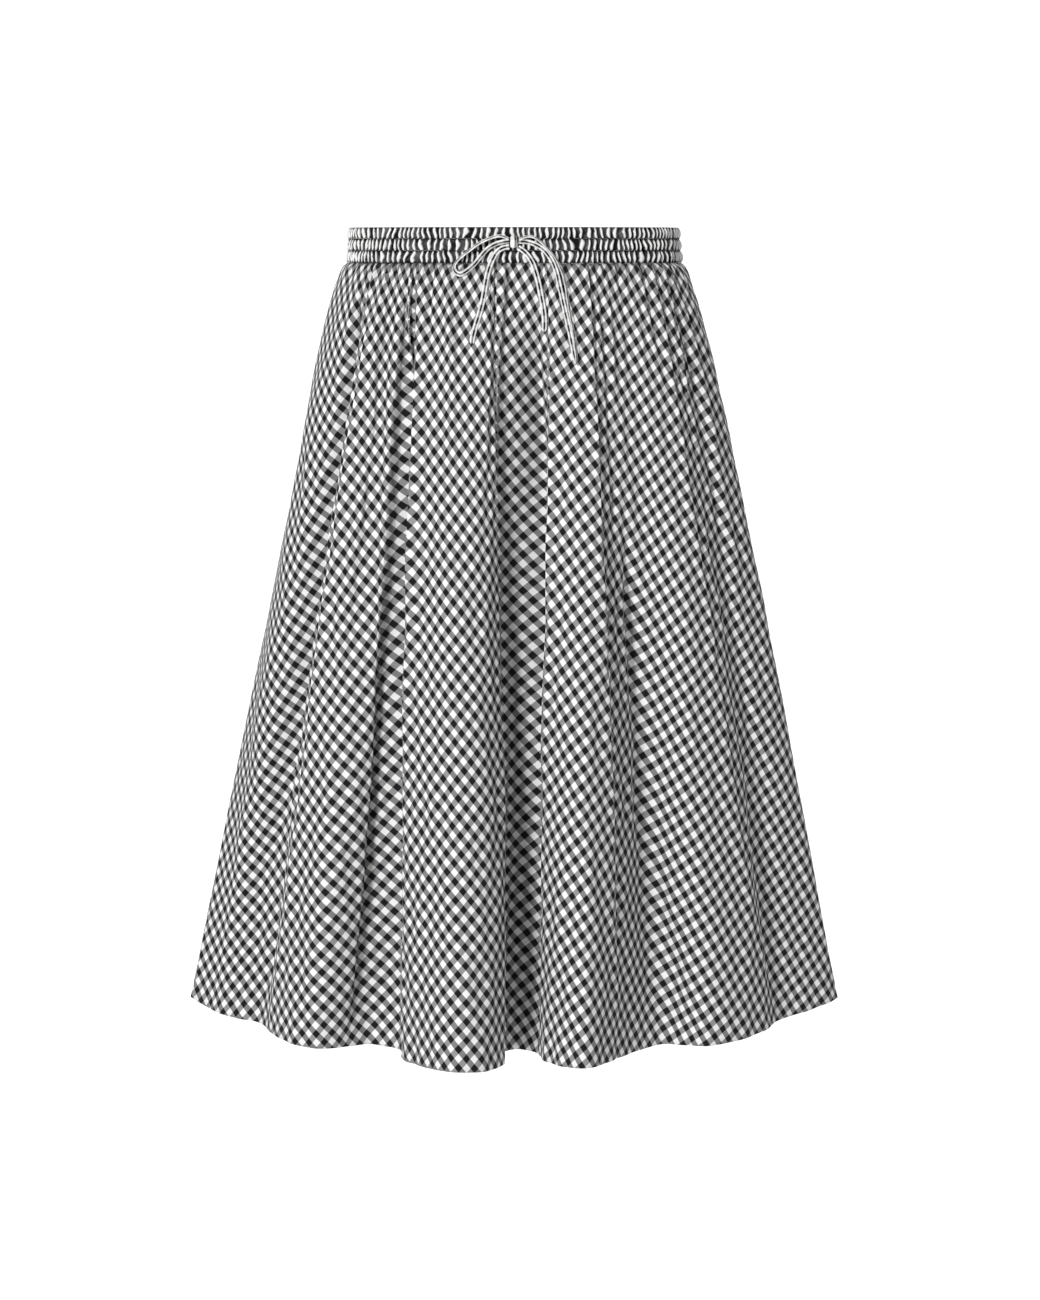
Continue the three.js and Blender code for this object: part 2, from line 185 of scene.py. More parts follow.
# Smooth curve through points, with even steps in each span
def spline(points, per_span):
    points = np.asarray(points, float)
    ends = (2 * points[:1] - points[1:2], 2 * points[-1:] - points[-2:-1])
    padded = np.vstack((ends[0], points, ends[1]))
    share = np.arange(per_span)[:, None] / per_span
    out = []
    for p0, p1, p2, p3 in zip(padded[:-3], padded[1:-2], padded[2:-1], padded[3:]):
        d0, d1, d2 = (math.sqrt(np.linalg.norm(b - a)) for a, b in ((p0, p1), (p1, p2), (p2, p3)))
        m1 = d1 * ((p1 - p0) / d0 - (p2 - p0) / (d0 + d1) + (p2 - p1) / d1)
        m2 = d1 * ((p2 - p1) / d1 - (p3 - p1) / (d1 + d2) + (p3 - p2) / d2)
        bend = -3 * p1 + 3 * p2 - 2 * m1 - m2
        twist = 2 * p1 - 2 * p2 + m1 + m2
        out.append(p1 + m1 * share + bend * share**2 + twist * share**3)
    return np.vstack((*out, points[-1:]))


def lengths_along(points):
    return np.concatenate(([0], np.cumsum(np.linalg.norm(np.diff(points, axis=0), axis=1))))


hem_places = [(x * MM, y * MM, bearing * BEARING_SCALE) for _, x, y, bearing in HEM]
hem_places.append((HEM[0][1] * MM, HEM[0][2] * MM, (HEM[0][3] + 360) * BEARING_SCALE))
hem_curve = spline(hem_places, STEPS_PER_FOLD)
hem_length = lengths_along(hem_curve[:, :2])
HEM_ROUND = hem_length[-1]
FRONT_HEM = hem_length[RIGHT_SEAM * STEPS_PER_FOLD]


def waist_at(bearing, wide, deep):
    angle = np.radians(bearing)
    point = np.stack((-wide * np.cos(angle), -deep * np.sin(angle)), -1)
    outward = np.stack((-deep * np.cos(angle), -wide * np.sin(angle)), -1)
    return point, outward / np.linalg.norm(outward, axis=-1, keepdims=True)


def tuck(length, down):
    turn = 2 * np.pi * length / HEM_ROUND
    wave = np.cos(TUCKS * turn + 1.1 * np.sin(7 * turn) + 0.8 * np.sin(11 * turn + 2))
    uneven = 0.75 + 0.25 * np.sin(5 * turn + 1) * np.sin(13 * turn)
    start = 1 - 0.65 * np.exp(-down / TUCK_START)
    return TUCK_DEPTH * wave * uneven * start * np.exp(-down / TUCK_FADE)


def hip_fullness(down):
    def shape(share):
        return share**HIP_RISE * (1 - share) ** HIP_FALL

    return HIP_FULLNESS * shape(down) / shape(HIP_RISE / (HIP_RISE + HIP_FALL))


# Below the gathers the cloth fills the corners of the waist's oval
def corner_depth(x, down):
    power = 2 + SQUARENESS * (1 - np.exp(-down / SQUARE_START))
    aside = np.minimum(1, np.abs(x) / WAIST_HALF_WIDTH)
    return WAIST_HALF_DEPTH * (1 - aside**power) ** (1 / power)


# Outer face of the solids. length and down are arrays of one shape.
def skirt_point(length, down):
    along = np.mod(length, HEM_ROUND)
    foot = np.stack([np.interp(along, hem_length, hem_curve[:, k]) for k in (0, 1)], -1)
    bearing = np.interp(along, hem_length, hem_curve[:, 2]) / BEARING_SCALE
    top, outward = waist_at(bearing, WAIST_HALF_WIDTH, WAIST_HALF_DEPTH)
    drop = np.sqrt(CLOTH_LENGTH**2 - np.sum((foot - top) ** 2, -1))
    top_y = np.sign(top[..., 1]) * corner_depth(top[..., 0], down)
    top = np.stack((top[..., 0], top_y), -1)
    stand = (hip_fullness(down) + tuck(length, down))[..., None]
    flat = top + (foot - top) * down[..., None] + outward * stand
    return np.concatenate((flat, (PANEL_TOP - drop * down)[..., None]), -1)


def unit(vectors):
    return vectors / np.maximum(np.linalg.norm(vectors, axis=-1, keepdims=True), 1e-12)


# Distance to the neighbouring points that give the surface its direction
SIDESTEP = 0.0015
DOWNSTEP = 0.004


def skirt_frame(length, down):
    around = unit(skirt_point(length + SIDESTEP, down) - skirt_point(length - SIDESTEP, down))
    below = skirt_point(length, np.minimum(1, down + DOWNSTEP))
    above = skirt_point(length, np.maximum(0, down - DOWNSTEP))
    return around, unit(np.cross(below - above, around))


# Creases, given one by one. place: where the crease leaves the waistband and where it ends, as
# shares of the front or back from its left edge. down: where it starts and ends, in shares of the
# cloth's length. depth: a ridge is positive and a trough negative, in millimetres. width: how far
# it spreads to its left and to its right, in millimetres. A narrow side is a sharp fold.
FRONT_CREASES = [
    # place      down        depth  width
    (0.028, 0.030, 0.05, 0.45, -3.0, 9, 7),
    (0.052, 0.050, 0.20, 0.36, -4.5, 9, 5),
    (0.092, 0.080, 0.02, 0.34, 3.0, 8, 5),
    (0.113, 0.055, 0.01, 1.00, -14, 18, 13),
    (0.140, 0.082, 0.01, 1.00, -21, 46, 8),
    (0.132, 0.126, 0.00, 0.22, -3.5, 5, 8),
    (0.172, 0.119, 0.03, 1.00, 4.5, 4, 20),
    (0.198, 0.196, 0.00, 0.16, 3.0, 6, 4),
    (0.232, 0.190, 0.02, 0.60, -2.6, 8, 8),
    (0.275, 0.219, 0.03, 1.00, 13, 34, 3),
    (0.300, 0.302, 0.00, 0.13, 3.0, 4, 5),
    (0.332, 0.314, 0.02, 0.62, -17, 58, 6),
    (0.326, 0.308, 0.08, 1.00, -25, 42, 4),
    (0.346, 0.318, 0.08, 1.00, 4.5, 3, 18),
    (0.372, 0.366, 0.00, 0.18, -3.4, 7, 4),
    (0.396, 0.402, 0.02, 0.27, -4.5, 30, 4),
    (0.402, 0.410, 0.00, 0.27, 4.8, 12, 2.5),
    (0.436, 0.418, 0.00, 0.20, 2.8, 4, 8),
    (0.462, 0.446, 0.10, 0.26, 3.4, 5, 3),
    (0.520, 0.474, 0.00, 1.00, 5.5, 18, 2.5),
    (0.562, 0.566, 0.01, 0.62, -13, 62, 14),
    (0.560, 0.566, 0.01, 1.00, -15, 19, 5),
    (0.560, 0.566, 0.00, 0.16, 3.0, 5, 4),
    (0.606, 0.582, 0.07, 0.98, 4.5, 3, 16),
    (0.640, 0.634, 0.00, 0.17, -3.0, 5, 5),
    (0.686, 0.600, 0.23, 0.35, 2.6, 9, 7),
    (0.666, 0.708, 0.00, 1.00, 5.2, 18, 2.8),
    (0.706, 0.736, 0.03, 0.82, -3.0, 6, 12),
    (0.745, 0.780, 0.30, 1.00, -12, 15, 14),
    (0.728, 0.722, 0.00, 0.21, 3.0, 4, 6),
    (0.762, 0.770, 0.00, 0.15, -3.4, 6, 4),
    (0.792, 0.806, 0.02, 0.46, 2.4, 9, 6),
    (0.820, 0.830, 0.00, 0.14, -3.2, 4, 5),
    (0.852, 0.892, 0.00, 0.98, 2.8, 14, 3),
    (0.880, 0.910, 0.02, 0.50, -1.6, 5, 10),
    (0.902, 0.900, 0.00, 0.20, 3.2, 5, 4),
    (0.930, 0.944, 0.03, 0.88, -2.8, 8, 10),
    (0.962, 0.956, 0.05, 0.50, 3.0, 10, 8),
]
BACK_CREASES = [
    (0.045, 0.050, 0.02, 0.40, -4.0, 6, 12),
    (0.085, 0.092, 0.00, 0.18, 3.2, 5, 6),
    (0.122, 0.108, 0.03, 0.95, 4.6, 4, 18),
    (0.160, 0.168, 0.00, 0.22, -3.6, 5, 8),
    (0.196, 0.214, 0.00, 1.00, 4.8, 16, 3),
    (0.236, 0.250, 0.01, 1.00, -12, 8, 28),
    (0.268, 0.276, 0.00, 0.17, 3.4, 5, 5),
    (0.300, 0.302, 0.00, 0.34, 4.2, 10, 3),
    (0.316, 0.304, 0.01, 1.00, -13, 30, 6),
    (0.338, 0.326, 0.05, 0.97, 4.4, 3, 16),
    (0.366, 0.366, 0.03, 0.20, -3.4, 6, 6),
    (0.402, 0.420, 0.00, 1.00, 5.2, 18, 3),
    (0.430, 0.444, 0.02, 0.72, -4.0, 6, 10),
    (0.462, 0.470, 0.00, 0.15, 3.0, 4, 6),
    (0.494, 0.496, 0.00, 0.26, 4.4, 3, 9),
    (0.536, 0.524, 0.01, 1.00, -12, 28, 6),
    (0.560, 0.548, 0.02, 1.00, 4.8, 3, 18),
    (0.592, 0.588, 0.00, 0.19, -3.4, 6, 6),
    (0.626, 0.630, 0.00, 0.30, 4.0, 11, 3),
    (0.660, 0.646, 0.03, 0.86, -3.4, 8, 10),
    (0.694, 0.700, 0.00, 0.16, 3.2, 5, 5),
    (0.728, 0.748, 0.00, 1.00, 5.0, 18, 3),
    (0.762, 0.776, 0.03, 0.60, -3.8, 6, 10),
    (0.798, 0.794, 0.00, 0.22, 3.4, 4, 8),
    (0.834, 0.820, 0.06, 0.96, 4.4, 4, 16),
    (0.872, 0.868, 0.00, 0.18, -3.4, 5, 6),
    (0.912, 0.924, 0.02, 0.78, -4.4, 8, 12),
    (0.952, 0.946, 0.03, 0.48, 3.0, 9, 8),
]
# Fine gathers let out of the waist seam, and a faint unevenness of the whole cloth
FINE_TUCKS = 132
FINE_TUCK_DEPTH = 0.0011
FINE_TUCK_FADE = 0.028
RIPPLES = [(23, 3.1, 0.4), (37, 5.3, 1.9), (61, 8.7, 4.1), (83, 13.1, 2.7)]
RIPPLE = 0.0006
# How far a crease strays, how it spreads on its way down, how soon it swells and how it fades
CREASE_WANDER = 0.0018
SPREAD_START = 0.75
SPREAD_GAIN = 0.5
SWELL_RUN = 0.04
SWELL_DEPTH = 150
FADE_POWER = 5


# A crease swells from its start, a long one keeps its depth, and all wander a little
def relief(creases, share, width, down, phase):
    out = np.zeros_like(down)
    for top, foot, start, end, depth, left, right in creases:
        along = np.clip((down - start) / (end - start), 0, 1)
        wander = CREASE_WANDER * np.sin(9 * along + 40 * top)
        aside = share * width - (top + (foot - top) * along) * width - wander
        spread = np.where(aside < 0, left, right) * MM * (SPREAD_START + SPREAD_GAIN * along)
        rise = SWELL_RUN + abs(depth) / SWELL_DEPTH
        swell = np.clip((down - start) / rise, 0, 1) if start > 0 else 1
        swell = swell * (1 - along ** (1 + FADE_POWER * (end - start)))
        out += depth * MM * swell * np.exp(-((aside / spread) ** 2))
    turn = 2 * np.pi * share + phase
    fine = np.cos(FINE_TUCKS / 2 * turn + 1.7 * np.sin(5 * turn) + 2.2 * np.sin(9 * turn))
    out += FINE_TUCK_DEPTH * fine * np.exp(-down / FINE_TUCK_FADE)
    for turns, rows, start in RIPPLES:
        wave = np.sin(turns / 2 * turn + start) * np.sin(rows * np.pi * down + 2 * start)
        out += RIPPLE * wave
    return out


def add_piece(name, mesh):
    piece = bpy.data.objects.new(name, mesh)
    bpy.context.scene.collection.objects.link(piece)
    return piece


def set_coords(mesh, coords):
    layer = mesh.uv_layers.new(name="cloth")
    layer.data.foreach_set("uv", coords.astype(np.float32).ravel())


def numbered(first, rows, columns):
    return first + np.arange(rows * columns).reshape(rows, columns)


# Faces of an outer and an inner grid of numbered points, and of the edges between them
def shell_faces(out, back, ring):
    def quads(a, b, c, d):
        return np.stack((a.ravel(), b.ravel(), c.ravel(), d.ravel()), -1)

    faces = [
        quads(out[:-1, :-1], out[1:, :-1], out[1:, 1:], out[:-1, 1:]),
        quads(back[:-1, 1:], back[1:, 1:], back[1:, :-1], back[:-1, :-1]),
        quads(out[0, :-1], out[0, 1:], back[0, 1:], back[0, :-1]),
        quads(out[-1, 1:], out[-1, :-1], back[-1, :-1], back[-1, 1:]),
    ]
    if not ring:
        faces.append(quads(out[:-1, 0], back[:-1, 0], back[1:, 0], out[1:, 0]))
        faces.append(quads(out[:-1, -1], out[1:, -1], back[1:, -1], back[:-1, -1]))
    return np.vstack(faces)


# Closed shell between an outer and an inner grid of points, with flat cloth coordinates
def shell(name, outer, inner, flat, ring=False, flat_inside=None):
    rows, columns = outer.shape[:2]
    in_rows = inner.shape[0]
    out = numbered(0, rows, columns)
    back = numbered(rows * columns, in_rows, columns)
    if ring:
        out = np.concatenate((out, out[:, :1]), 1)
        back = np.concatenate((back, back[:, :1]), 1)
    mesh = bpy.data.meshes.new(name)
    vertices = np.vstack((outer.reshape(-1, 3), inner.reshape(-1, 3)))
    mesh.from_pydata(vertices.tolist(), [], shell_faces(out, back, ring).tolist())
    # flat has one more column than a ring, for its seam
    width = flat.shape[1]
    inside = flat if flat_inside is None else flat_inside
    coords = np.vstack((flat.reshape(-1, 2), inside.reshape(-1, 2)))
    corners = shell_faces(numbered(0, rows, width), numbered(rows * width, in_rows, width), ring)
    set_coords(mesh, coords[corners.ravel()])
    mesh.shade_smooth()
    mesh.update()
    return add_piece(name, mesh)


# Materials
def node_tree(name):
    material = bpy.data.materials.new(name)
    material.use_nodes = True
    tree = material.node_tree
    shader = tree.nodes["Principled BSDF"]
    return material, tree, shader


def link(tree, source, target):
    tree.links.new(source, target)


def maths(tree, operation, first, second=None, third=None):
    node = tree.nodes.new("ShaderNodeMath")
    node.operation = operation
    for socket, value in zip(node.inputs, (first, second, third)):
        if value is None:
            continue
        if isinstance(value, (int, float)):
            socket.default_value = value
        else:
            link(tree, value, socket)
    return node.outputs[0]


def noise(tree, vector, scale, detail=3.0, roughness=0.5):
    node = tree.nodes.new("ShaderNodeTexNoise")
    node.inputs["Scale"].default_value = scale
    node.inputs["Detail"].default_value = detail
    node.inputs["Roughness"].default_value = roughness
    link(tree, vector, node.inputs["Vector"])
    return node.outputs["Fac"]


# Soft step between two values
def soft_step(tree, value, start, end, first=0, last=1):
    node = tree.nodes.new("ShaderNodeMapRange")
    node.interpolation_type = "SMOOTHSTEP"
    node.inputs["From Min"].default_value = start
    node.inputs["From Max"].default_value = end
    node.inputs["To Min"].default_value = first
    node.inputs["To Max"].default_value = last
    link(tree, value, node.inputs["Value"])
    return node.outputs[0]


# 1 on the dark half of each repeat and 0 on the pale half, with a slightly soft edge
def stripe(tree, place, softness):
    middle = maths(tree, "ABSOLUTE", maths(tree, "SUBTRACT", maths(tree, "FRACT", place), 0.5))
    return soft_step(tree, middle, 0.25 - softness, 0.25 + softness, 1, 0)


def cloth_place(tree):
    coords = tree.nodes.new("ShaderNodeUVMap")
    coords.uv_map = "cloth"
    return coords.outputs[0]


def bump(tree, height, strength, distance, below=None):
    node = tree.nodes.new("ShaderNodeBump")
    node.inputs["Strength"].default_value = strength
    node.inputs["Distance"].default_value = distance
    link(tree, height, node.inputs["Height"])
    if below is not None:
        link(tree, below, node.inputs["Normal"])
    return node.outputs[0]


def matt(shader, roughness, gloss, sheen):
    shader.inputs["Roughness"].default_value = roughness
    shader.inputs["Specular IOR Level"].default_value = gloss
    shader.inputs["Sheen Weight"].default_value = sheen


PALE = (0.72, 0.72, 0.71, 1)
MIXED = (0.186, 0.186, 0.188, 1)
DARK = (0.006, 0.006, 0.007, 1)
THREADS_PER_REPEAT = 34
THREAD_WAVE = math.pi * THREADS_PER_REPEAT
CHECK_SOFTNESS = 0.02
CLOTH_DRIFT = 0.0005
WARP_SHARE = 0.46
WEFT_SHARE = 0.54
FLECK = 0.10
SLUB = 0.10


# Colour from pale through mixed to dark
def check_colour(tree, depth, shader):
    ramp = tree.nodes.new("ShaderNodeValToRGB")
    ramp.color_ramp.elements[0].color = PALE
    ramp.color_ramp.elements[1].color = DARK
    ramp.color_ramp.elements.new(0.5).color = MIXED
    link(tree, depth, ramp.inputs["Fac"])
    link(tree, ramp.outputs["Color"], shader.inputs["Base Color"])


def gingham(name, angle):
    material, tree, shader = node_tree(name)
    place = cloth_place(tree)
    drift = tree.nodes.new("ShaderNodeTexNoise")
    drift.inputs["Scale"].default_value = 26
    drift.inputs["Detail"].default_value = 2
    link(tree, place, drift.inputs["Vector"])
    centred = tree.nodes.new("ShaderNodeVectorMath")
    centred.operation = "MULTIPLY_ADD"
    centred.inputs[1].default_value = (2 * CLOTH_DRIFT,) * 3
    link(tree, drift.outputs["Color"], centred.inputs[0])
    link(tree, place, centred.inputs[2])
    mapping = tree.nodes.new("ShaderNodeMapping")
    mapping.inputs["Rotation"].default_value = (0, 0, angle)
    mapping.inputs["Scale"].default_value = (1 / CHECK_REPEAT,) * 3
    link(tree, centred.outputs[0], mapping.inputs["Vector"])
    axes = tree.nodes.new("ShaderNodeSeparateXYZ")
    link(tree, mapping.outputs[0], axes.inputs[0])
    across, along = axes.outputs[0], axes.outputs[1]
    warp = stripe(tree, across, CHECK_SOFTNESS)
    weft = stripe(tree, along, CHECK_SOFTNESS)
    # Threads: each goes over one and under one
    over = maths(tree, "SINE", maths(tree, "MULTIPLY", across, THREAD_WAVE))
    under = maths(tree, "SINE", maths(tree, "MULTIPLY", along, THREAD_WAVE))
    weave = maths(tree, "MULTIPLY", over, under)
    weft_part = maths(tree, "MULTIPLY", weft, WEFT_SHARE)
    both = maths(tree, "ADD", maths(tree, "MULTIPLY", warp, WARP_SHARE), weft_part)
    from_mixed = maths(tree, "ABSOLUTE", maths(tree, "MULTIPLY_ADD", both, 2, -1))
    one = maths(tree, "SUBTRACT", 1, from_mixed)
    fleck = maths(tree, "MULTIPLY", maths(tree, "MULTIPLY", weave, one), FLECK)
    slub = noise(tree, mapping.outputs[0], 3.0, 4, 0.6)
    uneven = maths(tree, "MULTIPLY_ADD", slub, SLUB, -SLUB / 2)
    depth = maths(tree, "ADD", maths(tree, "ADD", both, fleck), uneven)
    check_colour(tree, depth, shader)
    matt(shader, 0.86, 0.12, 0.04)
    # Threads, slubs and a light crumple
    crumple = bump(tree, noise(tree, place, 70, 4, 0.55), 0.35, 0.0016)
    link(tree, bump(tree, weave, 0.25, 0.0002, crumple), shader.inputs["Normal"])
    return material


body_gingham = gingham("body_gingham", BIAS + GRAIN_LEAN)


# On the gathered band only the pale stripe on top of each ridge shows, as a lens between the rows
# of stitches. The dark stripes lie in the dips, with painted shade deepening them towards the
# stitches.
def band_gingham():
    material, tree, shader = node_tree("band_gingham")
    repeats = tree.nodes.new("ShaderNodeVectorMath")
    repeats.operation = "SCALE"
    repeats.inputs["Scale"].default_value = 1 / CHECK_REPEAT
    link(tree, cloth_place(tree), repeats.inputs[0])
    axes = tree.nodes.new("ShaderNodeSeparateXYZ")
    link(tree, repeats.outputs[0], axes.inputs[0])
    fray = noise(tree, repeats.outputs[0], 1.7, 3, 0.6)
    across = maths(tree, "MULTIPLY_ADD", fray, 0.30, maths(tree, "ADD", axes.outputs[0], -0.15))
    ridge = maths(tree, "FRACT", maths(tree, "ADD", across, 0.5))
    from_ridge = maths(tree, "ABSOLUTE", maths(tree, "SUBTRACT", ridge, 0.5))
    level = maths(tree, "FRACT", axes.outputs[1])
    from_middle = maths(tree, "ABSOLUTE", maths(tree, "MULTIPLY_ADD", level, 2, -1))
    lens = maths(tree, "SUBTRACT", 1, maths(tree, "POWER", from_middle, 3.5))
    uneven = maths(tree, "MULTIPLY_ADD", noise(tree, repeats.outputs[0], 0.9, 2, 0.5), 0.24, 0.08)
    half = maths(tree, "MULTIPLY", lens, uneven)
    edge = soft_step(tree, maths(tree, "SUBTRACT", from_ridge, half), -0.06, 0.10)
    # Painted shade: the dark grows a little deeper towards the rows of stitches, where the puffs dip
    # in
    painted_stitch_shade = maths(tree, "POWER", from_middle, 6)
    # Random blotches of tone in the dark stripes
    blotch = noise(tree, repeats.outputs[0], 0.8, 3, 0.6)
    dip_tone_and_painted_shade = maths(tree, "MULTIPLY_ADD", blotch, 1.1, maths(tree, "MULTIPLY_ADD", painted_stitch_shade, 0.1, 0.36))
    depth = maths(tree, "MULTIPLY", edge, maths(tree, "MINIMUM", dip_tone_and_painted_shade, 1))
    check_colour(tree, depth, shader)
    matt(shader, 0.86, 0.12, 0.04)
    threads = maths(tree, "SINE", maths(tree, "MULTIPLY", axes.outputs[1], THREAD_WAVE))
    weave = bump(tree, threads, 0.25, 0.0002)
    crumple = noise(tree, repeats.outputs[0], 2.6, 4, 0.55)
    link(tree, bump(tree, crumple, 0.4, 0.0012, weave), shader.inputs["Normal"])
    return material


# The tape is a strip of the same gingham, folded so that a dark stripe runs down its middle
def tape_gingham():
    material, tree, shader = node_tree("tape_gingham")
    axes = tree.nodes.new("ShaderNodeSeparateXYZ")
    link(tree, cloth_place(tree), axes.inputs[0])
    core = soft_step(tree, maths(tree, "ABSOLUTE", axes.outputs[1]), 0.0007, 0.0010, 1, 0)
    dash = stripe(tree, maths(tree, "DIVIDE", axes.outputs[0], CHECK_REPEAT), 0.03)
    middle = maths(tree, "MULTIPLY", core, maths(tree, "MULTIPLY_ADD", dash, 0.5, 0.5))
    edge = maths(tree, "MULTIPLY", maths(tree, "SUBTRACT", 1, core), dash)
    depth = maths(tree, "ADD", middle, maths(tree, "MULTIPLY", edge, 0.14))
    check_colour(tree, depth, shader)
    matt(shader, 0.85, 0.25, 0.1)
    ribs = maths(tree, "SINE", maths(tree, "MULTIPLY", axes.outputs[0], 2 * math.pi / TAPE_RIB))
    link(tree, bump(tree, ribs, 0.3, 0.0001), shader.inputs["Normal"])
    return material


tape_cloth = tape_gingham()

# Panels
PANEL_COLUMNS = 420
PANEL_ROWS = 110


def mouth_lift(from_seam, down):
    along = down * CLOTH_LENGTH / POCKET_LENGTH
    lift = np.where(along < 1, np.sin(np.pi * np.clip(along, 0, 1)), 0)
    return POCKET_LIFT * lift * np.exp(-from_seam / POCKET_EDGE)


FORM_EVENED = 0.13
CREASE_EVENED = 0.05
NEAR_CREASE = 0.05
CREASE_SHARE = 0.5
# Cloth under the tape: how far it stands out there, how far that reaches and how it rises beside
TAPE_REST = 0.0004
TAPE_REACH = 0.0035
TAPE_SLOPE = 0.5
# Below the gathers the cloth hangs a little across its grain, more so at the left of each panel
SKEW = 0.05
SKEW_LEFT = 0.13
SKEW_REACH = 0.5
SKEW_START = 0.2
SKEW_EVENED = 0.08
SKEW_LEVEL = 0.55


# The cloth lies flat under the drawstring and rises again beside it
def under_tape(points, stand):
    beside = np.full(stand.shape, 1.0)
    for route in (LEFT_LOOP, RIGHT_LOOP, LEFT_TAIL, RIGHT_TAIL):
        for across, up, _ in spline(route, 3):
            gap = np.hypot(points[..., 0] - across * MM, points[..., 2] - up * MM)
            beside = np.minimum(beside, gap)
    return np.minimum(stand, TAPE_REST + TAPE_SLOPE * np.maximum(0, beside - TAPE_REACH))


# Side seams, the waist seam, and the line of stitches that holds the hem
SEAM_DIP = 0.0012
SEAM_ROLL = 0.003
SEAM_CALM = 0.8
SEAM_CALM_REACH = 0.01
WAIST_CALM = 0.004
STITCH_DIP = 0.0005
STITCH_WIDTH = 0.0012
FOLD_ROLL = 0.0006
ROW_CROWDING = 1.15


def evened(values, rows, reach):
    weight = np.exp(-(((rows[:, None] - rows[None, :]) / reach) ** 2)) * np.gradient(rows)
    return weight @ values / weight.sum(1, keepdims=True)


# Share of each row's length up to each point
def cloth_share(points):
    run = np.cumsum(np.linalg.norm(np.diff(points, axis=1), axis=2), 1)
    return np.concatenate((np.zeros((len(run), 1)), run / run[:, -1:]), 1)


def panel(name, start, end, creases, is_front):
    shares = np.linspace(0, 1, PANEL_ROWS - 3) ** ROW_CROWDING
    fold_row = 1 - HEM_FOLD / CLOTH_LENGTH
    fold_rows = [fold_row - FOLD_ROLL, fold_row, fold_row + FOLD_ROLL]
    rows = np.sort(np.concatenate((shares, fold_rows)))
    columns = np.linspace(start, end, PANEL_COLUMNS + 1)
    down, length = np.meshgrid(rows, columns, indexing="ij")
    around, out = skirt_frame(length, down)
    from_seam = np.minimum(length - start, end - length)
    points = skirt_point(length, down)
    near_top = 1 - np.exp(-down / WAIST_CALM)
    share = (length - start) / (end - start)
    stand = relief(creases, share, end - start, down, start)
    stand -= SEAM_DIP * np.exp(-from_seam / SEAM_ROLL)
    stand *= near_top * (1 - SEAM_CALM * np.exp(-from_seam / SEAM_CALM_REACH))
    if is_front:
        stand = under_tape(points, stand + mouth_lift(from_seam, down))
    points += out * stand[..., None]
    points[:, 0] += around[:, 0] * SEAM_GAP / 2
    points[:, -1] -= around[:, -1] * SEAM_GAP / 2
    # Where the turned hem ends inside, a shallow line shows outside
    from_stitches = (down - fold_row) * CLOTH_LENGTH / STITCH_WIDTH
    points -= out * (STITCH_DIP * np.exp(-(from_stitches**2)))[..., None]
    edge_out = unit(np.cross(np.gradient(points, axis=0), np.gradient(points, axis=1)))
    thick = np.where(down > fold_row, TURNED_HEM, CLOTH)[..., None]
    inner = points - edge_out * thick
    # The check follows the cloth round the folds, and near each crease also the cloth that it takes
    form, creased = cloth_share(skirt_point(length, down)), cloth_share(points)
    apart = (columns[:, None] - columns[None, :]) / NEAR_CREASE
    near = np.exp(-(apart**2))
    extra = creased - form
    extra = CREASE_SHARE * (extra - extra @ near / near.sum(0))
    angle = (evened(form, rows, FORM_EVENED) + evened(extra, rows, CREASE_EVENED) - 0.5) * SECTOR_ANGLE
    radius = SECTOR_TOP + CLOTH_LENGTH * down
    skew = SKEW + SKEW_LEFT * np.clip(1 - share / SKEW_REACH, 0, 1)
    hung = evened(np.maximum(down, SKEW_START), rows, SKEW_EVENED) - SKEW_LEVEL
    angle += skew * hung * CLOTH_LENGTH / radius
    flat = np.stack((radius * np.sin(angle), -radius * np.cos(angle)), -1)
    piece = shell(name, points, inner, flat)
    piece.data.materials.append(body_gingham)
    return piece


front = panel("front_cloth", 0, FRONT_HEM, FRONT_CREASES, True)
back = panel("back_cloth", FRONT_HEM, HEM_ROUND, BACK_CREASES, False)

# Waistband
BAND_STEPS = 10
BAND_ROWS = 37
BAND_ROWS_INSIDE = 13
GATHER_DEPTH = 0.0017
GATHER_UNEVEN = 0.25
PUFF_ROUNDNESS = 0.7
# How far the gathers stray round the band: swing as a share of a gather, waves round the band,
# and how much the wave moves on from one elastic channel to the next
STRAY = [(0.60, 7, 0.31), (0.16, 23, 0.17), (0.07, 47, 0.43), (0.035, 83, 0.29)]
SLANT = [(0.30, 11, 0.37), (0.20, 31, 0.13)]


def band_size(height):
    narrower = BAND_TAPER * (height / BAND_HEIGHT + 0.5)
    return WAIST_HALF_WIDTH - narrower, WAIST_HALF_DEPTH - narrower


# Bearing at each share of the way round, at even steps of cloth
AROUND = np.linspace(0, 360, 721)
AROUND_LENGTH = lengths_along(waist_at(AROUND, WAIST_HALF_WIDTH, WAIST_HALF_DEPTH)[0])


def bearing_at(share):
    return np.interp(share, AROUND_LENGTH / AROUND_LENGTH[-1], AROUND)


# Number of the gather at each place: a whole number is the top of a ridge
def gather_at(share, place):
    channel = np.clip(np.floor(place), 0, CHANNELS - 1)
    within = place - channel - 0.5
    count = BAND_GATHERS * share
    for swing, waves, move in STRAY:
        count = count + swing * np.sin(2 * np.pi * (waves * share + move * channel))
    for swing, waves, move in SLANT:
        count = count + swing * within * np.sin(2 * np.pi * (waves * share + move * channel))
    return count + 0.07 * np.sin(2 * np.pi * (within + 9 * share))


